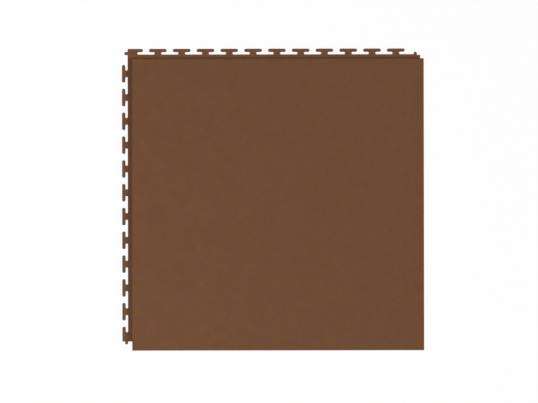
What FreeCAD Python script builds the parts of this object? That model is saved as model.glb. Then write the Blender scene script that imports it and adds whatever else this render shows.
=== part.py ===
import FreeCAD, Part
import os
import math
import Sketcher

# Interlocking PVC floor tile with a hidden joint, moulded as one piece.
# A square cover plate stands on a thinner lower layer. On the left (-X) and upper (+Y) sides the
# plate ends in a step, and the lower layer reaches out as a ledge with a row of T-shaped tabs. On
# the right (+X) and lower (-Y) sides the cover plate overhangs, and the lower layer is cut away
# under it to the negative of a neighbour's ledge and tabs.
# The origin is the middle of the laid tile on its underside, and +Z points up through the tile.

TILE_NAME = "floor_tile"

doc = FreeCAD.newDocument("interlocking_floor_tile")

# Driving dimensions, in millimetres unless the line says otherwise.
DIMENSIONS = [
    ("laid_size", 500.0, "centre distance of two laid tiles"),
    ("tile_thickness", 5.0, "underside to walking face"),
    ("tab_thickness", 2.6, "ledges, tabs and corner blocks"),
    ("cover_gap", 0.1, "air between a tab and the overhang above it"),
    ("seam_gap", 0.3, "joint between two laid cover plates"),
    ("step_setback", 1.7, "cover plate's left and upper faces inside the laid size"),
    ("plate_corner_radius", 3.0, "cover plate's upper left corner, between the two ledges"),
    ("rim_radius", 0.4, "rounding all round the walking face"),
    ("ledge_width", 5.6, "ledge beyond the laid size"),
    ("tab_pitch", 40.65, "centre distance of two tabs"),
    ("neck_width", 11.0, "narrowest part of a tab"),
    ("slot_depth", 4.2, "ledge to the wing of a tab"),
    ("head_width", 30.2, "tab across its wings"),
    ("head_depth", 5.5, "wing of a tab, outwards"),
    ("first_left_tab", 25.8, "lowest left tab above the lower edge of the laid size"),
    ("first_upper_tab", 5.4, "first upper tab right of the left edge of the laid size"),
    ("lock_gap", 0.3, "sideways clearance between tabs, blocks and their sockets"),
    ("lug_chamfer", 1.2, "at the wing tips of the lugs between two sockets"),
    ("upper_left_nub_width", 5.5, "round-nosed nub left of the upper left block"),
    ("upper_left_nub_length", 5.7, "its reach beyond the block"),
    ("upper_left_nub_height", 7.45, "its middle above the upper edge of the laid size"),
    ("lower_left_nub_width", 4.8, "nub below the lower left block"),
    ("upper_right_nub_width", 5.25, "nub above the right end of the upper ledge"),
    ("upper_right_nub_length", 4.3, "its reach beyond the ledge"),
]

sizes = doc.addObject("Spreadsheet::Sheet", "Sizes")
for row, (alias, value, meaning) in enumerate(DIMENSIONS, start=1):
    sizes.set("A%d" % row, alias)
    sizes.set("B%d" % row, str(value))
    sizes.set("C%d" % row, meaning)
    sizes.setAlias("B%d" % row, alias)

# Places that several features share, each worked out from the driving dimensions.
DERIVED = [
    ("half_laid", "laid_size / 2"),
    ("tab_count", "floor(laid_size / tab_pitch)"),
    ("reach", "ledge_width + slot_depth + head_depth"),
    ("slot_radius", "slot_depth / 2"),
    ("head_radius", "head_depth / 2"),
    ("cover_underside", "tab_thickness + cover_gap"),
    ("block_lower_edge", "reach + lock_gap - half_laid"),
    ("nub_clear_line", "upper_left_nub_height + upper_left_nub_width / 2 + lock_gap - half_laid"),
    ("lower_left_nub_length", "block_lower_edge - nub_clear_line"),
    ("upper_right_nub_edge", "half_laid - ledge_width - upper_left_nub_length - lock_gap"),
    ("low_ledge_width", "upper_left_nub_height - upper_left_nub_width / 2 - lock_gap"),
    ("room_edge", "half_laid - ledge_width - lock_gap"),
    ("plate_size", "laid_size - seam_gap / 2 - step_setback"),
    ("corner_room_edge", "upper_right_nub_edge - upper_right_nub_width - lock_gap"),
    ("upper_block_side", "first_upper_tab + ledge_width"),
    ("lower_block_side", "first_left_tab - reach - lock_gap"),
]
for row, (alias, formula) in enumerate(DERIVED, start=len(DIMENSIONS) + 2):
    sizes.set("A%d" % row, alias)
    sizes.set("B%d" % row, "=" + formula)
    sizes.setAlias("B%d" % row, alias)
doc.recompute()


def cell(alias):
    """The number in the named cell."""
    return float(getattr(sizes, alias))


def bound(formula):
    """The formula with each alias written as the sheet's own cell."""
    words = []
    word = ""
    for letter in formula + " ":
        if letter.isalnum() or letter in "_.":
            word += letter
            continue
        words.append("Sizes." + word if word and word[0].isalpha() else word)
        words.append(letter)
        word = ""
    return "".join(words).strip()


body = doc.addObject("PartDesign::Body", "FloorTile")
body.Label = TILE_NAME


def origin_feature(role):
    """The body's own origin plane or axis with this role."""
    return next(feature for feature in body.Origin.OriginFeatures if feature.Role == role)


def new_sketch(name, plane="XY_Plane", base_x="0", base_y="0", turn=0.0):
    """A sketch on an origin plane, moved to a base point and turned about its normal."""
    sketch = body.newObject("Sketcher::SketchObject", name)
    sketch.AttachmentSupport = [(origin_feature(plane), "")]
    sketch.MapMode = "FlatFace"
    rotation = FreeCAD.Rotation(FreeCAD.Vector(0, 0, 1), turn)
    sketch.AttachmentOffset = FreeCAD.Placement(FreeCAD.Vector(0, 0, 0), rotation)
    sketch.setExpression("AttachmentOffset.Base.x", bound(base_x))
    sketch.setExpression("AttachmentOffset.Base.y", bound(base_y))
    return sketch


def dimension(sketch, constraint, name, formula):
    """Adds a named size to the sketch and ties it to the sheet."""
    index = sketch.addConstraint(constraint)
    sketch.renameConstraint(index, name)
    sketch.setExpression("Constraints." + name, bound(formula))


START, END, CENTRE = 1, 2, 3
ROOT, X_AXIS, Y_AXIS = -1, -1, -2


def join_ends(sketch, count):
    """Joins each of the outline's elements to the next, and the last to the first."""
    for index in range(count):
        sketch.addConstraint(Sketcher.Constraint("Coincident", index, END, (index + 1) % count, START))


def stand_over_centre(sketch, arcs):
    """Sets both ends of each half circle straight above and below its centre."""
    for element in arcs:
        sketch.addConstraint(Sketcher.Constraint("Vertical", element, START, element, CENTRE))
        sketch.addConstraint(Sketcher.Constraint("Vertical", element, END, element, CENTRE))


def rectangle(name, left, lower, width, height):
    """A rectangle on the underside plane, placed by its lower left corner."""
    sketch = new_sketch(name, base_x=left, base_y=lower)
    corners = [FreeCAD.Vector(x, y, 0) for x, y in ((0, 0), (1, 0), (1, 1), (0, 1))]
    for index in range(4):
        sketch.addGeometry(Part.LineSegment(corners[index], corners[(index + 1) % 4]))
    join_ends(sketch, 4)
    for index, direction in enumerate(("Horizontal", "Vertical", "Horizontal", "Vertical")):
        sketch.addConstraint(Sketcher.Constraint(direction, index))
    sketch.addConstraint(Sketcher.Constraint("Coincident", 0, START, ROOT, START))
    dimension(sketch, Sketcher.Constraint("DistanceX", 0, START, 0, END, 1.0), "width", width)
    dimension(sketch, Sketcher.Constraint("DistanceY", 1, START, 1, END, 1.0), "height", height)
    return sketch


def arc(x, y, radius, first_angle):
    """Half a circle, counterclockwise from the first angle in degrees."""
    circle = Part.Circle(FreeCAD.Vector(x, y, 0), FreeCAD.Vector(0, 0, 1), radius)
    start = math.radians(first_angle)
    return Part.ArcOfCircle(circle, start, start + math.pi)


def line(x0, y0, x1, y1):
    """A straight stretch of an outline."""
    return Part.LineSegment(FreeCAD.Vector(x0, y0, 0), FreeCAD.Vector(x1, y1, 0))


def tab_outline(name, base_x, base_y, turn, block=None):
    """A T-shaped tab that points along the sketch's +Y.

    Its foot lies on the edge of the laid size, with the tab's middle at the base point. The wings
    have round ends, and so have the slots between the wings and the ledge. A corner block has only
    the right wing, and its left side is straight, at the distance from the middle that block gives.
    """
    sketch = new_sketch(name, base_x=base_x, base_y=base_y, turn=turn)
    slot_x = cell("neck_width") / 2 + cell("slot_radius")
    slot_y = cell("ledge_width") + cell("slot_radius")
    slot_r = cell("slot_radius")
    wing_x = cell("head_width") / 2 - cell("head_radius")
    wing_y = cell("ledge_width") + cell("slot_depth") + cell("head_radius")
    wing_r = cell("head_radius")
    side_x = -slot_x if block is None else -cell(block)
    foot, right_side, right_slot, right_wing, right_end, top = range(6)
    outline = [
        line(side_x, 0, slot_x, 0),
        line(slot_x, 0, slot_x, slot_y - slot_r),
        arc(slot_x, slot_y, slot_r, 90),
        line(slot_x, slot_y + slot_r, wing_x, slot_y + slot_r),
        arc(wing_x, wing_y, wing_r, -90),
        line(wing_x, wing_y + wing_r, side_x if block else -wing_x, wing_y + wing_r),
    ]
    # A slot's arc is drawn counterclockwise, against the outline's own direction.
    links = [(foot, END, right_side, START), (right_side, END, right_slot, END),
             (right_slot, START, right_wing, START), (right_wing, END, right_end, START),
             (right_end, END, top, START)]
    level, upright, arcs = [foot, right_wing, top], [right_side], [right_slot, right_end]
    if block is None:
        left_end, left_wing, left_slot, left_side = range(6, 10)
        outline += [
            arc(-wing_x, wing_y, wing_r, 90),
            line(-wing_x, slot_y + slot_r, -slot_x, slot_y + slot_r),
            arc(-slot_x, slot_y, slot_r, -90),
            line(-slot_x, slot_y - slot_r, -slot_x, 0),
        ]
        links += [(top, END, left_end, START), (left_end, END, left_wing, START),
                  (left_wing, END, left_slot, END), (left_slot, START, left_side, START)]
        level.append(left_wing)
        arcs += [left_end, left_slot]
    else:
        left_side = 6
        outline.append(line(side_x, wing_y + wing_r, side_x, 0))
        links.append((top, END, left_side, START))
    links.append((left_side, END, foot, START))
    upright.append(left_side)
    for element in outline:
        sketch.addGeometry(element)
    for link in links:
        sketch.addConstraint(Sketcher.Constraint("Coincident", *link))
    for element in level:
        sketch.addConstraint(Sketcher.Constraint("Horizontal", element))
    for element in upright:
        sketch.addConstraint(Sketcher.Constraint("Vertical", element))
    stand_over_centre(sketch, arcs)
    sketch.addConstraint(Sketcher.Constraint("PointOnObject", foot, START, X_AXIS))
    if block is None:
        for left, right in ((left_slot, right_slot), (left_end, right_end)):
            mirrored = Sketcher.Constraint("Symmetric", left, CENTRE, right, CENTRE, Y_AXIS)
            sketch.addConstraint(mirrored)
    else:
        dimension(sketch, Sketcher.Constraint("DistanceX", foot, START, ROOT, START, -side_x),
                  "block_side", block)
    dimension(sketch, Sketcher.Constraint("Radius", right_slot, slot_r), "slot_end", "slot_radius")
    dimension(sketch, Sketcher.Constraint("Radius", right_end, wing_r), "wing_end", "head_radius")
    dimension(sketch, Sketcher.Constraint("DistanceX", ROOT, START, right_slot, CENTRE, slot_x),
              "slot_across", "neck_width / 2 + slot_radius")
    dimension(sketch, Sketcher.Constraint("DistanceY", ROOT, START, right_slot, CENTRE, slot_y),
              "slot_out", "ledge_width + slot_radius")
    dimension(sketch, Sketcher.Constraint("DistanceX", ROOT, START, right_end, CENTRE, wing_x),
              "wing_across", "head_width / 2 - head_radius")
    return sketch


def socket_outline(name, base_x, base_y, turn):
    """The room for a tab that points along the sketch's +Y, one lock gap larger all round.

    The lugs that stay between two sockets hook behind the tabs. Their wings have chamfered tips.
    """
    sketch = new_sketch(name, base_x=base_x, base_y=base_y, turn=turn)
    chamfer = cell("lug_chamfer")
    tip = cell("neck_width") / 2 + cell("lock_gap")
    shoulder = tip + chamfer
    low = cell("ledge_width") + cell("lock_gap")
    high = cell("ledge_width") + cell("slot_depth") - cell("lock_gap")
    wing_x = cell("head_width") / 2 - cell("head_radius")
    wing_r = cell("head_radius") + cell("lock_gap")
    right = [(shoulder, 0), (shoulder, low), (tip, low + chamfer), (tip, high - chamfer),
             (shoulder, high), (wing_x, high)]
    sides = len(right) - 1
    for start, end in zip(right, right[1:]):
        sketch.addGeometry(line(*start, *end))
    right_end = sketch.addGeometry(arc(wing_x, high + wing_r, wing_r, -90))
    top = sketch.addGeometry(line(wing_x, high + 2 * wing_r, -wing_x, high + 2 * wing_r))
    left_end = sketch.addGeometry(arc(-wing_x, high + wing_r, wing_r, 90))
    for start, end in zip(right[::-1], right[-2::-1]):
        sketch.addGeometry(line(-start[0], start[1], -end[0], end[1]))
    foot = sketch.addGeometry(line(-shoulder, 0, shoulder, 0))
    join_ends(sketch, foot + 1)
    for element in range(sides):
        mirrored = Sketcher.Constraint("Symmetric", element, START, foot - 1 - element, END, Y_AXIS)
        sketch.addConstraint(mirrored)
    sketch.addConstraint(Sketcher.Constraint("Symmetric", right_end, CENTRE, left_end, CENTRE, Y_AXIS))
    stand_over_centre(sketch, (right_end, left_end))
    lower_side, lower_chamfer, tip_face, upper_chamfer, wing_face = range(sides)
    for element in (top, wing_face):
        sketch.addConstraint(Sketcher.Constraint("Horizontal", element))
    for element in (lower_side, tip_face):
        sketch.addConstraint(Sketcher.Constraint("Vertical", element))
    sketch.addConstraint(Sketcher.Constraint("Vertical", lower_side, END, wing_face, START))
    sketch.addConstraint(Sketcher.Constraint("PointOnObject", lower_side, START, X_AXIS))
    dimension(sketch, Sketcher.Constraint("DistanceX", ROOT, START, tip_face, START, tip),
              "tip_across", "neck_width / 2 + lock_gap")
    dimension(sketch, Sketcher.Constraint("DistanceX", lower_chamfer, END, lower_chamfer, START,
                                          chamfer), "chamfer_across", "lug_chamfer")
    dimension(sketch, Sketcher.Constraint("DistanceY", lower_chamfer, START, lower_chamfer, END,
                                          chamfer), "lower_chamfer_out", "lug_chamfer")
    dimension(sketch, Sketcher.Constraint("DistanceY", upper_chamfer, START, upper_chamfer, END,
                                          chamfer), "upper_chamfer_out", "lug_chamfer")
    dimension(sketch, Sketcher.Constraint("DistanceY", ROOT, START, lower_side, END, low),
              "lug_out", "ledge_width + lock_gap")
    dimension(sketch, Sketcher.Constraint("DistanceY", lower_side, END, wing_face, START,
                                          high - low), "lug_depth", "slot_depth - 2 * lock_gap")
    dimension(sketch, Sketcher.Constraint("DistanceX", ROOT, START, right_end, CENTRE, wing_x),
              "wing_across", "head_width / 2 - head_radius")
    dimension(sketch, Sketcher.Constraint("Radius", right_end, wing_r), "wing_end",
              "head_radius + lock_gap")
    return sketch


def nub(name, base_x, base_y, turn, width, length):
    """A nub that points along the sketch's +Y, with a half-round nose."""
    sketch = new_sketch(name, base_x=base_x, base_y=base_y, turn=turn)
    radius = cell(width) / 2
    shoulder = cell(length) - radius
    sketch.addGeometry(line(-radius, 0, radius, 0))
    sketch.addGeometry(line(radius, 0, radius, shoulder))
    sketch.addGeometry(arc(0, shoulder, radius, 0))
    sketch.addGeometry(line(-radius, shoulder, -radius, 0))
    join_ends(sketch, 4)
    foot, right_side, nose, left_side = 0, 1, 2, 3
    sketch.addConstraint(Sketcher.Constraint("Horizontal", foot))
    sketch.addConstraint(Sketcher.Constraint("Vertical", right_side))
    sketch.addConstraint(Sketcher.Constraint("Vertical", left_side))
    sketch.addConstraint(Sketcher.Constraint("Horizontal", nose, START, nose, CENTRE))
    sketch.addConstraint(Sketcher.Constraint("Horizontal", nose, END, nose, CENTRE))
    sketch.addConstraint(Sketcher.Constraint("PointOnObject", nose, CENTRE, Y_AXIS))
    sketch.addConstraint(Sketcher.Constraint("PointOnObject", foot, START, X_AXIS))
    dimension(sketch, Sketcher.Constraint("Radius", nose, radius), "nose", width + " / 2")
    dimension(sketch, Sketcher.Constraint("DistanceY", ROOT, START, nose, CENTRE, shoulder),
              "shoulder", length + " - " + width + " / 2")
    return sketch


def pad(name, sketch, height):
    """Material from the underside plane up to a height."""
    feature = body.newObject("PartDesign::Pad", name)
    feature.Profile = sketch
    feature.Type = "Length"
    feature.setExpression("Length", bound(height))
    return feature


def cut_below(name, sketch, height):
    """A recess from the underside plane up to a height."""
    feature = body.newObject("PartDesign::Pocket", name)
    feature.Profile = sketch
    feature.Type = "Length"
    feature.Reversed = True
    feature.setExpression("Length", bound(height))
    return feature


def repeat(name, feature, axis, count):
    """A row of the feature along an axis of the tile."""
    doc.recompute()
    row = body.newObject("PartDesign::LinearPattern", name)
    row.Originals = [feature]
    row.Direction = (origin_feature(axis), [""])
    row.Mode = "Spacing"
    row.setExpression("Offset", bound("tab_pitch"))
    row.setExpression("Occurrences", bound(count))
    body.Tip = row
    return row


def rounding(name, feature, part, radius):
    """A fillet on one edge of the feature, or all round one face."""
    doc.recompute()
    fillet = body.newObject("PartDesign::Fillet", name)
    fillet.Base = (feature, [part])
    fillet.setExpression("Radius", bound(radius))
    doc.recompute()
    return fillet


def nearest(kind, shapes, point):
    """The name of the edge or face whose middle is nearest to the point."""
    distances = [shape.CenterOfMass.distanceToPoint(point) for shape in shapes]
    return "%s%d" % (kind, distances.index(min(distances)) + 1)


# The cover plate, full thickness, with one rounded corner where the two ledges meet and a rounded
# rim all round the walking face.
plate = pad("CoverPlate", rectangle("CoverPlateOutline", "step_setback - half_laid",
                                    "seam_gap / 2 - half_laid", "plate_size", "plate_size"),
            "tile_thickness")
doc.recompute()
corner_x = cell("step_setback") - cell("half_laid")
corner = FreeCAD.Vector(corner_x, -corner_x, cell("tile_thickness") / 2)
plate = rounding("PlateCorner", plate, nearest("Edge", plate.Shape.Edges, corner),
                 "plate_corner_radius")
face_middle = FreeCAD.Vector(0, 0, cell("tile_thickness"))
plate = rounding("PlateRim", plate, nearest("Face", plate.Shape.Faces, face_middle), "rim_radius")

# The lower layer under it, out to the edge of the laid size.
pad("LowerLayer", rectangle("LowerLayerOutline", "-half_laid", "seam_gap / 2 - half_laid",
                            "laid_size - seam_gap / 2", "laid_size - seam_gap / 2"),
    "tab_thickness")

# Under the overhang: room for the next tiles' ledges and corner blocks.
cut_below("RightLedgeRoom", rectangle("RightLedgeRoomOutline", "room_edge", "-half_laid",
                                      "ledge_width + lock_gap", "laid_size"), "cover_underside")
cut_below("LowerLedgeRoom", rectangle("LowerLedgeRoomOutline", "-half_laid", "-half_laid",
                                      "laid_size", "ledge_width + lock_gap"), "cover_underside")
cut_below("LowerLeftRoom", rectangle("LowerLeftRoomOutline", "-half_laid", "-half_laid",
                                     "first_upper_tab + neck_width / 2 + lock_gap",
                                     "reach + lock_gap"), "cover_underside")
cut_below("CornerRoom", rectangle("CornerRoomOutline", "corner_room_edge", "-half_laid",
                                  "half_laid - corner_room_edge",
                                  "first_left_tab + neck_width / 2 + lock_gap"), "cover_underside")

# Under the overhang: a socket for each of the next tiles' tabs.
right_socket = cut_below("RightSocket",
                         socket_outline("RightSocketOutline", "half_laid",
                                        "first_left_tab - half_laid", 90), "cover_underside")
repeat("RightSockets", right_socket, "Y_Axis", "tab_count")
lower_socket = cut_below("LowerSocket",
                         socket_outline("LowerSocketOutline", "first_upper_tab - half_laid",
                                        "-half_laid", 0), "cover_underside")
repeat("LowerSockets", lower_socket, "X_Axis", "tab_count")

# The ledges. The left one stops at the lower left block, and the upper one steps in at its right
# end, where the next tile's nub passes.
pad("LeftLedge", rectangle("LeftLedgeOutline", "-half_laid - ledge_width", "block_lower_edge",
                           "ledge_width", "half_laid + ledge_width - block_lower_edge"),
    "tab_thickness")
pad("UpperLedge", rectangle("UpperLedgeOutline", "-half_laid", "half_laid",
                            "half_laid + upper_right_nub_edge", "ledge_width"), "tab_thickness")
pad("UpperLedgeEnd", rectangle("UpperLedgeEndOutline", "upper_right_nub_edge", "half_laid",
                               "room_edge - upper_right_nub_edge", "low_ledge_width"),
    "tab_thickness")

# Each row's first tab is a corner block with one wing.
pad("UpperLeftBlock", tab_outline("UpperLeftBlockOutline", "first_upper_tab - half_laid",
                                  "half_laid", 0, block="upper_block_side"), "tab_thickness")
pad("LowerLeftBlock", tab_outline("LowerLeftBlockOutline", "-half_laid",
                                  "first_left_tab - half_laid", 90, block="lower_block_side"),
    "tab_thickness")

# The nubs at the three corners that carry a ledge.
pad("UpperLeftNub", nub("UpperLeftNubOutline", "-half_laid - ledge_width",
                        "half_laid + upper_left_nub_height", 90,
                        "upper_left_nub_width", "upper_left_nub_length"), "tab_thickness")
pad("LowerLeftNub", nub("LowerLeftNubOutline",
                        "-half_laid - ledge_width - lock_gap - lower_left_nub_width / 2",
                        "block_lower_edge", 180, "lower_left_nub_width",
                        "lower_left_nub_length"), "tab_thickness")
pad("UpperRightNub", nub("UpperRightNubOutline", "upper_right_nub_edge - upper_right_nub_width / 2",
                         "half_laid + ledge_width", 0, "upper_right_nub_width",
                         "upper_right_nub_length"), "tab_thickness")

# The rest of the two rows of tabs.
left_tab = pad("LeftTab", tab_outline("LeftTabOutline", "-half_laid",
                                      "first_left_tab + tab_pitch - half_laid", 90),
               "tab_thickness")
repeat("LeftTabs", left_tab, "Y_Axis", "tab_count - 1")
upper_tab = pad("UpperTab", tab_outline("UpperTabOutline",
                                        "first_upper_tab + tab_pitch - half_laid", "half_laid", 0),
                "tab_thickness")
repeat("UpperTabs", upper_tab, "X_Axis", "tab_count - 1")

body.Placement = FreeCAD.Placement()
doc.recompute()

for item in doc.Objects:
    if any(word in item.State for word in ("Invalid", "Error")):
        raise RuntimeError("%s failed: %s" % (item.Name, item.State))
if body.Shape.isNull() or not body.Shape.isValid():
    raise RuntimeError(TILE_NAME + " has no valid shape")
if len(body.Shape.Solids) != 1:
    raise RuntimeError(TILE_NAME + " is not one solid")

os.makedirs("parts", exist_ok=True)
body.Shape.exportStep(os.path.join("parts", body.Label + ".step"))
box = body.Shape.BoundBox
print("%s: %.2f x %.2f x %.2f mm, %.0f mm3, %d faces" % (
    TILE_NAME, box.XLength, box.YLength, box.ZLength, body.Shape.Volume, len(body.Shape.Faces)))
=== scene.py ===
import math

import bmesh
import bpy
from mathutils import Matrix, Vector


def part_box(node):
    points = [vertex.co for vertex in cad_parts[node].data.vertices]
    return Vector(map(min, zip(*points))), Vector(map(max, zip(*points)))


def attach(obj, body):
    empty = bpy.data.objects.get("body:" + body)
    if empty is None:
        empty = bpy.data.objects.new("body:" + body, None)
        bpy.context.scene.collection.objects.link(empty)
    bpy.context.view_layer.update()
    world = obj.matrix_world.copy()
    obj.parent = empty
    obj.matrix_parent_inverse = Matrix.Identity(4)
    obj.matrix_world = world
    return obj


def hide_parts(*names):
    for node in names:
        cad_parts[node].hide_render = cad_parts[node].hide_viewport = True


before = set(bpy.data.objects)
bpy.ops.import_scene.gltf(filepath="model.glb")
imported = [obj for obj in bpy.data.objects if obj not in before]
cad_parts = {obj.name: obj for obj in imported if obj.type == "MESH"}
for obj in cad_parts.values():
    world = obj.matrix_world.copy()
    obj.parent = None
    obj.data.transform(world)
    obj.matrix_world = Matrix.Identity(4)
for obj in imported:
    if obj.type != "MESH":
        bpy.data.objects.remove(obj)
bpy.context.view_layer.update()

bl_info = {
    "name": "Interlocking PVC Floor Tile",
    "version": (1, 0, 0),
    "blender": (4, 5, 0),
    "location": "3D View > Sidebar > Floor Tile",
    "description": "Builds a moulded PVC floor tile with a hidden joint, its finish and its studio",
    "category": "Object",
}

# The tile lies flat with its underside on the floor and its middle at the origin. The tabs stand on
# the left (-X) and upper (+Y) sides, and the cover plate overhangs on the right and lower sides.
NODE = "floor_tile"
LOW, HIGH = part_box(NODE)
MM = 0.001


def linear(colour):
    """A hex sRGB colour as linear red, green and blue."""
    channels = [int(colour[start:start + 2], 16) / 255 for start in (1, 3, 5)]
    return [c / 12.92 if c <= 0.04045 else ((c + 0.055) / 1.055) ** 2.4 for c in channels]


def length(name, description, millimetres):
    """A length property, kept in metres."""
    return bpy.props.FloatProperty(name=name, description=description, default=millimetres * MM,
                                   min=0.0, precision=5, unit="LENGTH", subtype="DISTANCE")


def factor(name, description, value):
    """A property from 0 to 1."""
    return bpy.props.FloatProperty(name=name, description=description, default=value, min=0.0,
                                   max=1.0, subtype="FACTOR")


def tint(name, description, colour):
    """A colour property, written as sRGB hex."""
    return bpy.props.FloatVectorProperty(name=name, description=description, size=3, min=0.0,
                                         max=1.0, default=linear(colour), subtype="COLOR")


class TileSizes(bpy.types.PropertyGroup):
    """The moulded tile's sizes."""

    laid_size: length("Laid Size", "Centre distance of two laid tiles", 500.0)
    thickness: length("Thickness", "Underside to walking face", HIGH.z / MM)
    tab_thickness: length("Tab Thickness", "Ledges, tabs and corner blocks", 2.6)
    cover_gap: length("Cover Gap", "Air between a tab and the overhang above it", 0.1)
    step_setback: length("Step Setback", "Cover plate's left and upper faces inside the laid size", 1.7)
    plate_corner: length("Plate Corner", "Radius of the cover plate's upper left corner", 3.0)
    ledge_width: length("Ledge Width", "Ledge beyond the laid size", 5.6)
    tab_pitch: length("Tab Pitch", "Centre distance of two tabs", 40.65)
    neck_width: length("Neck Width", "Narrowest part of a tab", 11.0)
    slot_depth: length("Slot Depth", "Ledge to the wing of a tab", 4.2)
    head_width: length("Head Width", "Tab across its wings", 30.2)
    head_depth: length("Head Depth", "Wing of a tab, outwards", 5.5)
    first_left_tab: length("First Left Tab", "Lowest left tab above the laid size's lower edge", 25.8)
    first_upper_tab: length("First Upper Tab", "First upper tab right of the laid size's left edge", 5.4)
    lock_gap: length("Lock Gap", "Sideways clearance between tabs and their sockets", 0.3)
    lug_chamfer: length("Lug Chamfer", "At the wing tips of the lugs between two sockets", 1.2)
    left_nub_width: length("Left Nub Width", "Nub left of the upper left block", 5.5)
    left_nub_length: length("Left Nub Length", "Its reach beyond the block", 5.7)
    left_nub_height: length("Left Nub Height", "Its middle above the laid size's upper edge", 7.45)
    lower_nub_width: length("Lower Nub Width", "Nub below the lower left block", 4.8)
    upper_nub_width: length("Upper Nub Width", "Nub above the upper ledge's right end", 5.25)
    upper_nub_length: length("Upper Nub Length", "Its reach beyond the ledge", 4.3)
    rim_radius: length("Rim Radius", "Rounding all round the walking face", 0.4)
    arc_steps: bpy.props.IntProperty(name="Arc Steps", description="Straight steps in a half circle",
                                     default=14, min=4, max=48)


class TileFinish(bpy.types.PropertyGroup):
    """The grain, relief and colours of the moulded PVC."""

    pvc_colour: tint("PVC Colour", "Brown of the PVC, coloured all through", "#704A31")
    warm_colour: tint("Warm Tone", "Redder places in the brown", "#714A34")
    olive_colour: tint("Olive Tone", "Yellower places in the brown", "#6F4A2D")
    tone_patch: length("Tone Patch", "Size of the redder and yellower places", 16.0)
    tone_fleck: length("Tone Fleck", "Size of the small light and dark places", 13.0)
    fleck_contrast: factor("Fleck Contrast", "How far those places are lighter and darker", 0.05)
    relief_depth: length("Relief Depth", "Depth of the soft waves in the walking face", 0.06)
    fold_size: length("Fold Size", "Width of the soft waves", 26.0)
    dimple_size: length("Dimple Size", "Width of the dimples between the waves", 11.0)
    dimple_share: factor("Dimple Share", "Share of the dimples in the relief", 0.35)
    relief_cell: length("Relief Cell", "Mesh cell of the walking face", 2.45)
    relief_margin: length("Relief Margin", "Plain strip along the cover plate's rim", 4.0)
    pebble_size: length("Pebble Size", "Width of a pebble of the leather grain", 2.8)
    pebble_depth: length("Pebble Depth", "Depth of the creases between the pebbles", 0.055)
    mould_grain: length("Mould Grain", "Grain of the mould's eroded surface", 0.7)
    mould_depth: length("Mould Depth", "Depth of the mould's grain", 0.012)
    pebble_roughness: factor("Pebble Roughness", "Roughness on top of the pebbles", 0.72)
    crease_roughness: factor("Crease Roughness", "Roughness in the creases", 0.82)
    sheen_level: factor("Sheen Level", "Specular level of the dull PVC", 0.15)
    seed: bpy.props.IntProperty(name="Seed", description="Another seed gives another relief", default=7)


class StudioSettings(bpy.types.PropertyGroup):
    """The floor, the lamps and the camera."""

    floor_colour: tint("Floor Colour", "Pale floor under the tile", "#F4F4F3")
    floor_white: factor("Floor White", "How far the camera sees the floor as plain white", 0.94)
    dome: factor("Dome", "Level of the soft light all round", 0.42)
    key_level: factor("Key Lamp", "Level of the far, low lamp on the right", 0.29)
    key_angle: bpy.props.FloatProperty(name="Key Angle", description="How wide that lamp looks",
                                       default=math.radians(11.0), min=0.0, unit="ROTATION",
                                       subtype="ANGLE")
    fill_power: bpy.props.FloatProperty(name="Fill Lamp", description="Near lamp on the lower left",
                                        default=22.3, min=0.0, unit="POWER")
    fill_size: length("Fill Size", "Side of that square lamp", 1100.0)
    lens: bpy.props.FloatProperty(name="Lens", description="Focal length", default=100.0, min=10.0,
                                  unit="CAMERA", subtype="DISTANCE_CAMERA")


# Node trees.

def add_node(tree, kind, inputs=None, **settings):
    """Adds a node with its settings. An input takes a value, a socket, or a list of sockets."""
    node = tree.nodes.new(kind)
    node.location = (180.0 * len(tree.nodes), -120.0 * (len(tree.nodes) % 4))
    for name, value in settings.items():
        setattr(node, name, value)
    for name, value in (inputs or {}).items():
        for source in value if isinstance(value, list) else [value]:
            if isinstance(source, bpy.types.NodeSocket):
                tree.links.new(source, node.inputs[name])
            else:
                node.inputs[name].default_value = source
    return node


def new_geometry_tree(name, inputs):
    """A geometry tree with a geometry input, the named inputs and a geometry output."""
    tree = bpy.data.node_groups.new(name, "GeometryNodeTree")
    tree.interface.new_socket("Geometry", in_out="INPUT", socket_type="NodeSocketGeometry")
    for label, kind in inputs.items():
        tree.interface.new_socket(label, in_out="INPUT", socket_type="NodeSocket" + kind)
    tree.interface.new_socket("Geometry", in_out="OUTPUT", socket_type="NodeSocketGeometry")
    return tree, add_node(tree, "NodeGroupInput").outputs


def end_tree(tree, geometry, material):
    """Realizes the instances, gives them the material and ends the tree."""
    real = add_node(tree, "GeometryNodeRealizeInstances", {"Geometry": geometry})
    dressed = add_node(tree, "GeometryNodeSetMaterial",
                       {"Geometry": real.outputs["Geometry"], "Material": material})
    add_node(tree, "NodeGroupOutput", {"Geometry": dressed.outputs["Geometry"]})


def add_tree_modifier(piece, tree, values):
    """Adds the tree to the piece, with each named input set by its identifier."""
    modifier = piece.modifiers.new(tree.name, "NODES")
    modifier.node_group = tree
    for item in tree.interface.items_tree:
        if item.in_out == "INPUT" and item.name in values:
            modifier[item.identifier] = values[item.name]


def bake_modifiers(piece):
    """Turns the piece's modifiers into a plain mesh and removes them."""
    bpy.context.view_layer.update()
    evaluated = piece.evaluated_get(bpy.context.evaluated_depsgraph_get())
    made = bpy.data.meshes.new_from_object(evaluated)
    if not made.polygons:
        raise RuntimeError(f"the modifiers left no faces on {piece.name}")
    piece.modifiers.clear()
    old = piece.data
    piece.data = made
    made.name = piece.name
    bpy.data.meshes.remove(old)


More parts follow.
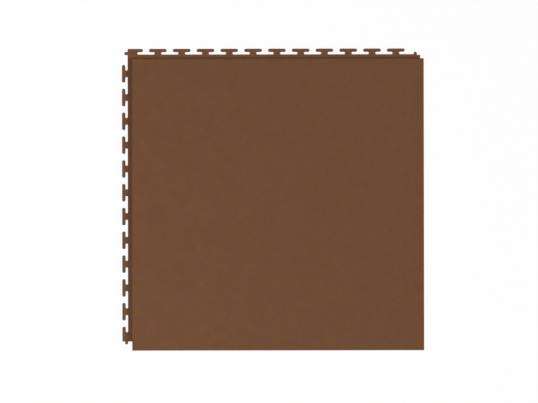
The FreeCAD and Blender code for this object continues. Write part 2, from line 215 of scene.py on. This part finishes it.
def tile_rows_tree():
    """Cuts the rooms and sockets into the plate and adds the ledges, blocks, nubs and tabs."""
    shapes = ("Rooms", "Right Socket", "Lower Socket", "Ledges", "Blocks", "Nubs", "Left Tab",
              "Upper Tab")
    inputs = {shape: "Object" for shape in shapes}
    inputs |= {"Tab Pitch": "Float", "Tab Count": "Int", "Material": "Material"}
    tree, given = new_geometry_tree("tile rows", inputs)
    along_y = add_node(tree, "ShaderNodeCombineXYZ", {"Y": given["Tab Pitch"]})
    along_x = add_node(tree, "ShaderNodeCombineXYZ", {"X": given["Tab Pitch"]})
    rest = add_node(tree, "ShaderNodeMath", {0: given["Tab Count"], 1: 1.0}, operation="SUBTRACT")

    def shape(name):
        """The named shape's own mesh."""
        return add_node(tree, "GeometryNodeObjectInfo", {"Object": given[name]}).outputs["Geometry"]

    def row(name, count, step):
        """A row of the named shape, from where it stands."""
        line = add_node(tree, "GeometryNodeMeshLine", {"Count": count, "Offset": step.outputs["Vector"]})
        placed = add_node(tree, "GeometryNodeInstanceOnPoints",
                          {"Points": line.outputs["Mesh"], "Instance": shape(name)})
        real = add_node(tree, "GeometryNodeRealizeInstances", {"Geometry": placed.outputs["Instances"]})
        return real.outputs["Geometry"]

    sockets = [row("Right Socket", given["Tab Count"], along_y),
               row("Lower Socket", given["Tab Count"], along_x)]
    hollow = add_node(tree, "GeometryNodeMeshBoolean",
                      {0: given["Geometry"], 1: [shape("Rooms"), *sockets]},
                      operation="DIFFERENCE", solver="EXACT")
    tabs = [row("Left Tab", rest.outputs["Value"], along_y),
            row("Upper Tab", rest.outputs["Value"], along_x)]
    parts = [hollow.outputs["Mesh"], shape("Ledges"), shape("Blocks"), shape("Nubs"), *tabs]
    whole = add_node(tree, "GeometryNodeMeshBoolean", {1: parts}, operation="UNION", solver="EXACT")
    end_tree(tree, whole.outputs["Mesh"], given["Material"])
    return tree


def leather_relief_tree():
    """Lowers the walking face in soft waves and dimples, where the relief attribute says so."""
    tree, given = new_geometry_tree("leather relief", {
        "Depth": "Float", "Fold Size": "Float", "Dimple Size": "Float", "Dimple Share": "Float",
        "Seed": "Int", "Material": "Material"})
    place = add_node(tree, "GeometryNodeInputPosition").outputs["Position"]
    mask = add_node(tree, "GeometryNodeInputNamedAttribute", {"Name": "relief"}, data_type="FLOAT")
    folds_per_metre = add_node(tree, "ShaderNodeMath", {0: 1.0, 1: given["Fold Size"]},
                               operation="DIVIDE")
    dimples_per_metre = add_node(tree, "ShaderNodeMath", {0: 1.0, 1: given["Dimple Size"]},
                                 operation="DIVIDE")
    folds = add_node(tree, "ShaderNodeTexNoise",
                     {"Vector": place, "W": given["Seed"], "Scale": folds_per_metre.outputs["Value"],
                      "Detail": 2.0, "Roughness": 0.5}, noise_dimensions="4D")
    dimples = add_node(tree, "ShaderNodeTexVoronoi",
                       {"Vector": place, "W": given["Seed"], "Smoothness": 0.6,
                        "Scale": dimples_per_metre.outputs["Value"]},
                       voronoi_dimensions="4D", feature="SMOOTH_F1")
    height = add_node(tree, "ShaderNodeMix", {"Factor": given["Dimple Share"], "A": folds.outputs[0],
                                              "B": dimples.outputs["Distance"]})
    masked = add_node(tree, "ShaderNodeMath", {0: height.outputs["Result"], 1: mask.outputs["Attribute"]},
                      operation="MULTIPLY")
    depth = add_node(tree, "ShaderNodeMath", {0: masked.outputs["Value"], 1: given["Depth"]},
                     operation="MULTIPLY")
    down = add_node(tree, "ShaderNodeMath", {0: depth.outputs["Value"], 1: -1.0}, operation="MULTIPLY")
    offset = add_node(tree, "ShaderNodeCombineXYZ", {"Z": down.outputs["Value"]})
    moved = add_node(tree, "GeometryNodeSetPosition",
                     {"Geometry": given["Geometry"], "Offset": offset.outputs["Vector"]})
    end_tree(tree, moved.outputs["Geometry"], given["Material"])
    return tree


# The tile's shapes.

def arc(x, y, radius, first, last, steps):
    """Points on an arc from the first angle to the last, in degrees."""
    turns = [math.radians(first + (last - first) * step / steps) for step in range(steps + 1)]
    return [(x + radius * math.cos(turn), y + radius * math.sin(turn)) for turn in turns]


def mirrored(right):
    """The outline of a shape that is the same left and right, from its right half."""
    return right + [(-x, y) for x, y in reversed(right)]


def tab_outline(sizes):
    """The right half of a T-shaped tab that points along +Y, from its foot to its top."""
    slot_radius, head_radius = sizes.slot_depth / 2, sizes.head_depth / 2
    slot_x, wing_x = sizes.neck_width / 2 + slot_radius, sizes.head_width / 2 - head_radius
    wing_y = sizes.ledge_width + sizes.slot_depth + head_radius
    slot = arc(slot_x, sizes.ledge_width + slot_radius, slot_radius, -90, -270, sizes.arc_steps)
    return [(slot_x, 0.0), *slot, *arc(wing_x, wing_y, head_radius, -90, 90, sizes.arc_steps)]


def socket_outline(sizes):
    """The right half of the room for such a tab, one lock gap larger, with chamfered lug tips."""
    tip = sizes.neck_width / 2 + sizes.lock_gap
    shoulder = tip + sizes.lug_chamfer
    low = sizes.ledge_width + sizes.lock_gap
    high = sizes.ledge_width + sizes.slot_depth - sizes.lock_gap
    radius = sizes.head_depth / 2 + sizes.lock_gap
    wing_x = (sizes.head_width - sizes.head_depth) / 2
    wing = arc(wing_x, high + radius, radius, -90, 90, sizes.arc_steps)
    return [(shoulder, -sizes.lock_gap), (shoulder, low), (tip, low + sizes.lug_chamfer),
            (tip, high - sizes.lug_chamfer), (shoulder, high), *wing]


def nub_outline(sizes, width, reach):
    """A round-nosed nub that points along +Y, with its foot one lock gap inside what carries it."""
    nose = arc(0.0, reach - width / 2, width / 2, 0, 180, sizes.arc_steps)
    return [(-width / 2, -sizes.lock_gap), (width / 2, -sizes.lock_gap), *nose]


def new_shape(name, prisms):
    """A mesh object of prisms: each has an outline, a base point, a turn, a low and a high level."""
    bm = bmesh.new()
    for outline, base, turn, low, high in prisms:
        place = Matrix.Translation((*base, 0.0)) @ Matrix.Rotation(math.radians(turn), 4, "Z")
        lower = [bm.verts.new(place @ Vector((x, y, low))) for x, y in outline]
        upper = [bm.verts.new(place @ Vector((x, y, high))) for x, y in outline]
        bm.faces.new(lower[::-1])
        bm.faces.new(upper)
        for index in range(len(outline)):
            bm.faces.new((lower[index - 1], lower[index], upper[index], upper[index - 1]))
    mesh = bpy.data.meshes.new(name)
    bm.to_mesh(mesh)
    bm.free()
    shape = bpy.data.objects.new(name, mesh)
    bpy.context.scene.collection.objects.link(shape)
    return shape


class TilePlan:
    """The places that the tile's shapes share, worked out from its sizes."""

    def __init__(self, sizes):
        self.half = sizes.laid_size / 2
        self.reach = sizes.ledge_width + sizes.slot_depth + sizes.head_depth
        self.plate_left = sizes.step_setback - self.half
        self.plate_top = self.half - sizes.step_setback
        self.ceiling = sizes.tab_thickness + sizes.cover_gap
        self.block_edge = self.reach + sizes.lock_gap - self.half
        self.room_edge = self.half - sizes.ledge_width - sizes.lock_gap
        self.upper_nub_edge = self.room_edge - sizes.left_nub_length
        self.corner_room_edge = self.upper_nub_edge - sizes.upper_nub_width - sizes.lock_gap
        self.neck_room = sizes.neck_width / 2 + sizes.lock_gap
        self.tab_count = int(sizes.laid_size // sizes.tab_pitch)


def plate_outline(sizes, plan):
    """The cover plate with its one rounded corner, anticlockwise from the lower left."""
    radius = sizes.plate_corner
    corner = arc(plan.plate_left + radius, plan.plate_top - radius, radius, 90, 180, sizes.arc_steps)
    return [(plan.plate_left, LOW.y), (HIGH.x, LOW.y), (HIGH.x, plan.plate_top), *corner]


def rooms_outline(sizes, plan):
    """The room under the overhang for the neighbours' ledges and corner blocks."""
    outer = plan.half + sizes.ledge_width
    ledge_room = sizes.ledge_width + sizes.lock_gap - plan.half
    corner_top = sizes.first_left_tab + plan.neck_room - plan.half
    block_room = sizes.first_upper_tab + plan.neck_room - plan.half
    return [(-outer, -outer), (outer, -outer), (outer, outer), (plan.room_edge, outer),
            (plan.room_edge, corner_top), (plan.corner_room_edge, corner_top),
            (plan.corner_room_edge, ledge_room), (block_room, ledge_room),
            (block_room, plan.block_edge), (-outer, plan.block_edge)]


def ledges_outline(sizes, plan):
    """The left and upper ledges, reaching one ledge width under the cover plate."""
    inner = plan.half - sizes.ledge_width
    outer = plan.half + sizes.ledge_width
    low_ledge = plan.half + sizes.left_nub_height - sizes.left_nub_width / 2 - sizes.lock_gap
    return [(-outer, plan.block_edge), (-inner, plan.block_edge), (-inner, inner),
            (plan.room_edge, inner), (plan.room_edge, low_ledge), (plan.upper_nub_edge, low_ledge),
            (plan.upper_nub_edge, outer), (-outer, outer)]


def tile_shapes(sizes, plan):
    """The shapes that the tile rows tree cuts away and adds, by the name of its input."""
    half, top = plan.half, sizes.tab_thickness
    tab, socket = tab_outline(sizes), socket_outline(sizes)

    def block(side):
        """A corner block's outline: a tab with one wing and a straight left side."""
        return [*tab, (-side, plan.reach), (-side, 0.0)]

    def cut(outline, base=(0.0, 0.0), turn=0.0):
        """A prism from below the underside up to the overhang's ceiling."""
        return outline, base, turn, -sizes.tab_thickness, plan.ceiling

    def add(outline, base=(0.0, 0.0), turn=0.0):
        """A prism of the tabs' thickness."""
        return outline, base, turn, 0.0, top

    left_nub_top = sizes.left_nub_height + sizes.left_nub_width / 2
    lower_nub_length = plan.block_edge + half - left_nub_top - sizes.lock_gap
    lower_nub_x = -half - sizes.ledge_width - sizes.lock_gap - sizes.lower_nub_width / 2
    upper_nub_x = plan.upper_nub_edge - sizes.upper_nub_width / 2
    return {
        "Rooms": [cut(rooms_outline(sizes, plan))],
        "Right Socket": [cut(mirrored(socket), (half, sizes.first_left_tab - half), 90)],
        "Lower Socket": [cut(mirrored(socket), (sizes.first_upper_tab - half, -half))],
        "Ledges": [add(ledges_outline(sizes, plan))],
        "Blocks": [add(block(sizes.first_upper_tab + sizes.ledge_width),
                       (sizes.first_upper_tab - half, half)),
                   add(block(sizes.first_left_tab - plan.reach - sizes.lock_gap),
                       (-half, sizes.first_left_tab - half), 90)],
        "Nubs": [add(nub_outline(sizes, sizes.left_nub_width, sizes.left_nub_length),
                     (-half - sizes.ledge_width, half + sizes.left_nub_height), 90),
                 add(nub_outline(sizes, sizes.lower_nub_width, lower_nub_length),
                     (lower_nub_x, plan.block_edge), 180),
                 add(nub_outline(sizes, sizes.upper_nub_width, sizes.upper_nub_length),
                     (upper_nub_x, half + sizes.ledge_width))],
        "Left Tab": [add(mirrored(tab), (-half, sizes.first_left_tab + sizes.tab_pitch - half), 90)],
        "Upper Tab": [add(mirrored(tab), (sizes.first_upper_tab + sizes.tab_pitch - half, half))],
    }


def mould_rows(piece, sizes, plan, material):
    """Cuts and adds the rows of sockets and tabs, and leaves one plain mesh."""
    helpers = {name: new_shape(name, prisms) for name, prisms in tile_shapes(sizes, plan).items()}
    add_tree_modifier(piece, tile_rows_tree(), {
        **helpers, "Tab Pitch": sizes.tab_pitch, "Tab Count": plan.tab_count, "Material": material})
    bake_modifiers(piece)
    for helper in helpers.values():
        mesh = helper.data
        bpy.data.objects.remove(helper)
        bpy.data.meshes.remove(mesh)


def in_walking_face(point, sizes):
    """Whether a point lies at the height of the walking face."""
    return point.z > HIGH.z - sizes.cover_gap


def grid_walking_face(bm, sizes, finish, plan):
    """Lays a square mesh into the walking face, inside a plain margin, for the relief."""
    left, right = plan.plate_left + finish.relief_margin, HIGH.x - finish.relief_margin
    lower, upper = LOW.y + finish.relief_margin, plan.plate_top - finish.relief_margin
    cuts = (((left, 0, 0), (1, 0, 0)), ((right, 0, 0), (1, 0, 0)),
            ((0, lower, 0), (0, 1, 0)), ((0, upper, 0), (0, 1, 0)))
    for point, normal in cuts:
        faces = [face for face in bm.faces if in_walking_face(face.calc_center_median(), sizes)]
        around = {edge for face in faces for edge in face.edges}
        corners = {vert for face in faces for vert in face.verts}
        bmesh.ops.bisect_plane(bm, geom=[*faces, *around, *corners], plane_co=point, plane_no=normal,
                               dist=sizes.cover_gap / 100)
    middle = Vector(((left + right) / 2, (lower + upper) / 2, HIGH.z))
    face = min((face for face in bm.faces if in_walking_face(face.calc_center_median(), sizes)),
               key=lambda face: (face.calc_center_median() - middle).length)
    steps = round((right - left) / finish.relief_cell)
    border = list(face.edges)
    bmesh.ops.delete(bm, geom=[face], context="FACES_ONLY")
    bmesh.ops.bisect_edges(bm, edges=border, cuts=steps - 1)
    stretch = Matrix.Diagonal(((right - left) / 2, (upper - lower) / 2, 1.0, 1.0))
    bmesh.ops.create_grid(bm, x_segments=steps, y_segments=steps, size=1.0,
                          matrix=Matrix.Translation(middle) @ stretch)
    bmesh.ops.remove_doubles(bm, verts=bm.verts, dist=sizes.cover_gap / 20)
    relief = bm.verts.layers.float.new("relief")
    fade = 4 * finish.relief_margin
    for vert in bm.verts:
        if in_walking_face(vert.co, sizes):
            inside = min(vert.co.x - left, right - vert.co.x, vert.co.y - lower, upper - vert.co.y)
            rise = min(max(inside / fade, 0.0), 1.0)
            vert[relief] = rise * rise * (3 - 2 * rise)


# Edges under the first angle are shaded smooth, and outer edges over the second are rounded.
SMOOTH_ANGLE, ROUNDED_ANGLE = math.radians(30), math.radians(50)

# How far the rims of the walking face, the upright edges and the low rims are rounded, as shares
# of the rim radius.
WALKING_RIM, UPRIGHT_EDGE, LOW_RIM = 1.0, 0.8, 0.5


def weigh_rims(bm, sizes):
    """Sets how far each outer edge is rounded, and leaves out edges beside a sliver."""
    weight = bm.edges.layers.float.new("bevel_weight_edge")
    for edge in bm.edges:
        edge.smooth = edge.calc_face_angle(0.0) < SMOOTH_ANGLE
        ends = edge.verts
        beside_sliver = any(other.calc_length() < 2 * sizes.cover_gap for end in ends
                            for other in end.link_edges)
        if beside_sliver or edge.calc_face_angle_signed(0.0) < ROUNDED_ANGLE:
            continue
        if all(in_walking_face(end.co, sizes) for end in ends):
            edge[weight] = WALKING_RIM
        elif abs(ends[0].co.z - ends[1].co.z) > sizes.cover_gap:
            edge[weight] = UPRIGHT_EDGE
        else:
            edge[weight] = LOW_RIM


def tidy_mesh(piece, sizes, finish, plan):
    """Joins the flat faces, meshes the walking face and weighs the rims."""
    bm = bmesh.new()
    bm.from_mesh(piece.data)
    bmesh.ops.remove_doubles(bm, verts=bm.verts, dist=sizes.cover_gap / 100)
    bmesh.ops.dissolve_limit(bm, verts=bm.verts, edges=bm.edges, angle_limit=math.radians(1))
    grid_walking_face(bm, sizes, finish, plan)
    bmesh.ops.recalc_face_normals(bm, faces=bm.faces)
    for face in bm.faces:
        face.smooth = True
    weigh_rims(bm, sizes)
    bm.to_mesh(piece.data)
    bm.free()


# The material.

# How far a crease reaches into its pebbles, as a share of the pebbles' width.
CREASE_SHARE = 0.2


def per_metre(size):
    """How many of a pattern's cells of this size, in metres, there are in a metre."""
    return 1.0 / size


def embossed_pvc(finish, sizes):
    """Leather-embossed flexible PVC, coloured all through.

    The walking face has a fine pebble grain that breaks up its dull sheen, and the brown drifts a
    little to red and to yellow. The ledges, sides and underside are plain, with the faint grain of an
    eroded mould. The real mould grain is too fine to show, so it is drawn coarser.
    """
    material = bpy.data.materials.new("leather_embossed_pvc")
    material.use_nodes = True
    tree = material.node_tree
    tree.nodes.clear()
    place = add_node(tree, "ShaderNodeTexCoord").outputs["Object"]
    height = add_node(tree, "ShaderNodeSeparateXYZ", {0: place}).outputs["Z"]
    walking = add_node(tree, "ShaderNodeMapRange",
                       {"Value": height, "From Min": sizes.thickness - 4 * sizes.cover_gap,
                        "From Max": sizes.thickness - 2 * sizes.cover_gap},
                       interpolation_type="SMOOTHSTEP")

    patches = add_node(tree, "ShaderNodeTexNoise",
                       {"Vector": place, "Scale": per_metre(finish.tone_patch), "Detail": 3.0,
                        "Roughness": 0.55})
    tone = add_node(tree, "ShaderNodeValToRGB", {"Fac": patches.outputs[0]})
    tone.color_ramp.elements[0].position = 0.3
    tone.color_ramp.elements[0].color = (*finish.olive_colour, 1.0)
    tone.color_ramp.elements[1].position = 0.7
    tone.color_ramp.elements[1].color = (*finish.warm_colour, 1.0)
    tone.color_ramp.elements.new(0.5).color = (*finish.pvc_colour, 1.0)
    flecks = add_node(tree, "ShaderNodeTexNoise",
                      {"Vector": place, "Scale": per_metre(finish.tone_fleck), "Detail": 2.0,
                       "Roughness": 0.5})
    level = add_node(tree, "ShaderNodeMapRange",
                     {"Value": flecks.outputs[0], "From Min": 0.25, "From Max": 0.75,
                      "To Min": 1.0 - finish.fleck_contrast, "To Max": 1.0 + finish.fleck_contrast})
    colour = add_node(tree, "ShaderNodeVectorMath",
                      {0: tone.outputs["Color"], 1: level.outputs["Result"]}, operation="MULTIPLY")

    warp = add_node(tree, "ShaderNodeTexNoise",
                    {"Vector": place, "Scale": per_metre(3 * finish.pebble_size), "Detail": 1.0})
    swing = add_node(tree, "ShaderNodeVectorMath", {0: warp.outputs["Color"], 1: (0.5, 0.5, 0.5)},
                     operation="SUBTRACT")
    bent = add_node(tree, "ShaderNodeVectorMath",
                    {0: swing.outputs["Vector"], 1: (finish.pebble_size,) * 3, 2: place},
                    operation="MULTIPLY_ADD")
    pebbles = add_node(tree, "ShaderNodeTexVoronoi",
                       {"Vector": bent.outputs["Vector"], "Scale": per_metre(finish.pebble_size)},
                       feature="DISTANCE_TO_EDGE")
    crease = add_node(tree, "ShaderNodeMapRange",
                      {"Value": pebbles.outputs["Distance"], "From Max": CREASE_SHARE},
                      interpolation_type="SMOOTHSTEP")
    grain = add_node(tree, "ShaderNodeMath",
                     {0: crease.outputs["Result"], 1: walking.outputs["Result"]},
                     operation="MULTIPLY")
    leather = add_node(tree, "ShaderNodeBump",
                       {"Height": grain.outputs["Value"], "Strength": 1.0,
                        "Distance": finish.pebble_depth})
    eroded = add_node(tree, "ShaderNodeTexNoise",
                      {"Vector": place, "Scale": per_metre(finish.mould_grain), "Detail": 3.0,
                       "Roughness": 0.6})
    surface = add_node(tree, "ShaderNodeBump",
                       {"Height": eroded.outputs[0], "Strength": 1.0,
                        "Distance": finish.mould_depth, "Normal": leather.outputs["Normal"]})
    dullness = add_node(tree, "ShaderNodeMapRange",
                        {"Value": crease.outputs["Result"], "To Min": finish.crease_roughness,
                         "To Max": finish.pebble_roughness})
    shader = add_node(tree, "ShaderNodeBsdfPrincipled",
                      {"Base Color": colour.outputs["Vector"], "Roughness": dullness.outputs["Result"],
                       "IOR": 1.54, "Specular IOR Level": finish.sheen_level,
                       "Normal": surface.outputs["Normal"]})
    add_node(tree, "ShaderNodeOutputMaterial", {"Surface": shader.outputs["BSDF"]})
    return material


class BuildTile(bpy.types.Operator):
    """Build the moulded tile: cover plate, ledges, tabs, sockets, rims, relief and finish"""

    bl_idname = "floor_tile.build_tile"
    bl_label = "Build Floor Tile"

    def execute(self, context):
        sizes, finish = context.scene.tile_sizes, context.scene.tile_finish
        plan = TilePlan(sizes)
        material = embossed_pvc(finish, sizes)
        plate = plate_outline(sizes, plan), (0.0, 0.0), 0.0, 0.0, sizes.thickness
        piece = new_shape("moulded_tile", [plate])
        mould_rows(piece, sizes, plan, material)
        tidy_mesh(piece, sizes, finish, plan)
        rims = piece.modifiers.new("rims", "BEVEL")
        rims.limit_method = "WEIGHT"
        rims.width = sizes.rim_radius
        rims.segments = 2
        rims.use_clamp_overlap = False
        rims.harden_normals = True
        rims.miter_outer = "MITER_ARC"
        add_tree_modifier(piece, leather_relief_tree(), {
            "Depth": finish.relief_depth, "Fold Size": finish.fold_size,
            "Dimple Size": finish.dimple_size, "Dimple Share": finish.dimple_share,
            "Seed": finish.seed, "Material": material})
        bake_modifiers(piece)
        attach(piece, "root")
        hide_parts(NODE)
        return {"FINISHED"}


# The studio.

# Places in the photograph, in pixels: its size, and the cover plate's four sides.
PHOTO_WIDTH, PHOTO_HEIGHT = 538, 403
PLATE_LEFT_PX, PLATE_RIGHT_PX = 132.0, 423.98
PLATE_TOP_PX, PLATE_LOWER_PX = 58.95, 350.0

# How far the tile is turned in the photograph, clockwise, in degrees.
PHOTO_ROLL = -0.1

# Half the floor's side, and how far it lies under the tile, in metres.
FLOOR_REACH, FLOOR_DROP = 20.0, 0.0001

# The far lamp's direction, and the near lamp's place in metres.
KEY_DIRECTION = Vector((1.0, -0.16, 0.25)).normalized()
FILL_PLACE = (-1.75, -1.05, 1.2)


def white_to_camera(tree, shader, white, share):
    """Mixes a shader with plain white where the camera sees it, directly or in a reflection."""
    path = add_node(tree, "ShaderNodeLightPath")
    direct = add_node(tree, "ShaderNodeMath",
                      {0: path.outputs["Is Camera Ray"], 1: path.outputs["Is Transmission Ray"]},
                      operation="MAXIMUM")
    seen = add_node(tree, "ShaderNodeMath",
                    {0: direct.outputs["Value"], 1: path.outputs["Is Glossy Ray"]},
                    operation="MAXIMUM")
    part = add_node(tree, "ShaderNodeMath", {0: seen.outputs["Value"], 1: share}, operation="MULTIPLY")
    return add_node(tree, "ShaderNodeMixShader", {0: part.outputs["Value"], 1: shader, 2: white})


def studio_floor(context, settings):
    """A wide pale floor that keeps the tile's shadow."""
    material = bpy.data.materials.new("matt_paper_floor")
    material.use_nodes = True
    tree = material.node_tree
    tree.nodes.clear()
    paper = add_node(tree, "ShaderNodeBsdfDiffuse", {"Color": (*settings.floor_colour, 1.0)})
    white = add_node(tree, "ShaderNodeEmission", {"Color": (1.0, 1.0, 1.0, 1.0), "Strength": 1.0})
    mixed = white_to_camera(tree, paper.outputs["BSDF"], white.outputs["Emission"],
                            settings.floor_white)
    add_node(tree, "ShaderNodeOutputMaterial", {"Surface": mixed.outputs["Shader"]})
    mesh = bpy.data.meshes.new("studio_floor")
    corners = [(x * FLOOR_REACH, y * FLOOR_REACH, 0.0) for x, y in ((-1, -1), (1, -1), (1, 1), (-1, 1))]
    mesh.from_pydata(corners, [], [(0, 1, 2, 3)])
    mesh.materials.append(material)
    floor = bpy.data.objects.new("studio_floor", mesh)
    context.scene.collection.objects.link(floor)
    floor.location.z = -FLOOR_DROP


def studio_world(context, settings):
    """A soft even dome, which the camera sees as white."""
    world = bpy.data.worlds.new("studio_dome")
    world.use_nodes = True
    tree = world.node_tree
    tree.nodes.clear()
    dome = add_node(tree, "ShaderNodeBackground", {"Color": (1.0, 1.0, 1.0, 1.0),
                                                   "Strength": settings.dome})
    white = add_node(tree, "ShaderNodeBackground", {"Color": (1.0, 1.0, 1.0, 1.0), "Strength": 1.0})
    mixed = white_to_camera(tree, dome.outputs["Background"], white.outputs["Background"], 1.0)
    add_node(tree, "ShaderNodeOutputWorld", {"Surface": mixed.outputs["Shader"]})
    context.scene.world = world


def place_lamp(context, lamp, towards, place=(0.0, 0.0, 0.0)):
    """Puts a lamp in the scene, shining from a direction, and keeps it out of the picture."""
    holder = bpy.data.objects.new(lamp.name, lamp)
    context.scene.collection.objects.link(holder)
    holder.location = place
    holder.rotation_euler = Vector(towards).to_track_quat("Z", "Y").to_euler()
    holder.visible_camera = False


def studio_lamps(context, settings):
    """A far soft lamp low on the right, and a near one on the lower left."""
    key = bpy.data.lights.new("key_lamp", "SUN")
    key.energy = math.pi * settings.key_level / KEY_DIRECTION.z
    key.angle = settings.key_angle
    place_lamp(context, key, KEY_DIRECTION)
    fill = bpy.data.lights.new("fill_lamp", "AREA")
    fill.energy = settings.fill_power
    fill.size = settings.fill_size
    place_lamp(context, fill, FILL_PLACE, FILL_PLACE)


def studio_camera(context, settings, plan):
    """A long lens straight above the tile, framed so that the cover plate fills the same pixels."""
    left, top = plan.plate_left, plan.plate_top
    pixel = (HIGH.x - left) / (PLATE_RIGHT_PX - PLATE_LEFT_PX)
    camera = bpy.data.cameras.new("photo_camera")
    camera.lens = settings.lens
    camera.clip_end = 50.0
    distance = PHOTO_WIDTH * pixel * camera.lens / camera.sensor_width
    middle_x = (left + HIGH.x) / 2 - ((PLATE_LEFT_PX + PLATE_RIGHT_PX) / 2 - PHOTO_WIDTH / 2) * pixel
    middle_y = (top + LOW.y) / 2 + ((PLATE_TOP_PX + PLATE_LOWER_PX) / 2 - PHOTO_HEIGHT / 2) * pixel
    holder = bpy.data.objects.new("photo_camera", camera)
    context.scene.collection.objects.link(holder)
    holder.location = (middle_x, middle_y, HIGH.z + distance)
    holder.rotation_euler.z = math.radians(PHOTO_ROLL)
    context.scene.camera = holder


class BuildStudio(bpy.types.Operator):
    """Build the pale floor, the soft lamps, the dome and the camera"""

    bl_idname = "floor_tile.build_studio"
    bl_label = "Build Studio"

    def execute(self, context):
        settings = context.scene.studio_settings
        studio_floor(context, settings)
        studio_world(context, settings)
        studio_lamps(context, settings)
        studio_camera(context, settings, TilePlan(context.scene.tile_sizes))
        context.scene.view_settings.view_transform = "Standard"
        return {"FINISHED"}


class TilePanel(bpy.types.Panel):
    """Sizes, finish and studio of the floor tile"""

    bl_idname = "VIEW3D_PT_floor_tile"
    bl_label = "Floor Tile"
    bl_space_type = "VIEW_3D"
    bl_region_type = "UI"
    bl_category = "Floor Tile"

    def draw(self, context):
        for settings, operator in ((context.scene.tile_sizes, None),
                                   (context.scene.tile_finish, BuildTile),
                                   (context.scene.studio_settings, BuildStudio)):
            box = self.layout.box()
            for name in settings.__annotations__:
                box.prop(settings, name)
            if operator:
                box.operator(operator.bl_idname)


CLASSES = (TileSizes, TileFinish, StudioSettings, BuildTile, BuildStudio, TilePanel)


def register():
    for item in CLASSES:
        bpy.utils.register_class(item)
    bpy.types.Scene.tile_sizes = bpy.props.PointerProperty(type=TileSizes)
    bpy.types.Scene.tile_finish = bpy.props.PointerProperty(type=TileFinish)
    bpy.types.Scene.studio_settings = bpy.props.PointerProperty(type=StudioSettings)


def unregister():
    del bpy.types.Scene.studio_settings
    del bpy.types.Scene.tile_finish
    del bpy.types.Scene.tile_sizes
    for item in reversed(CLASSES):
        bpy.utils.unregister_class(item)


def main():
    register()
    bpy.ops.floor_tile.build_tile()
    bpy.ops.floor_tile.build_studio()


if __name__ == "__main__":
    main()
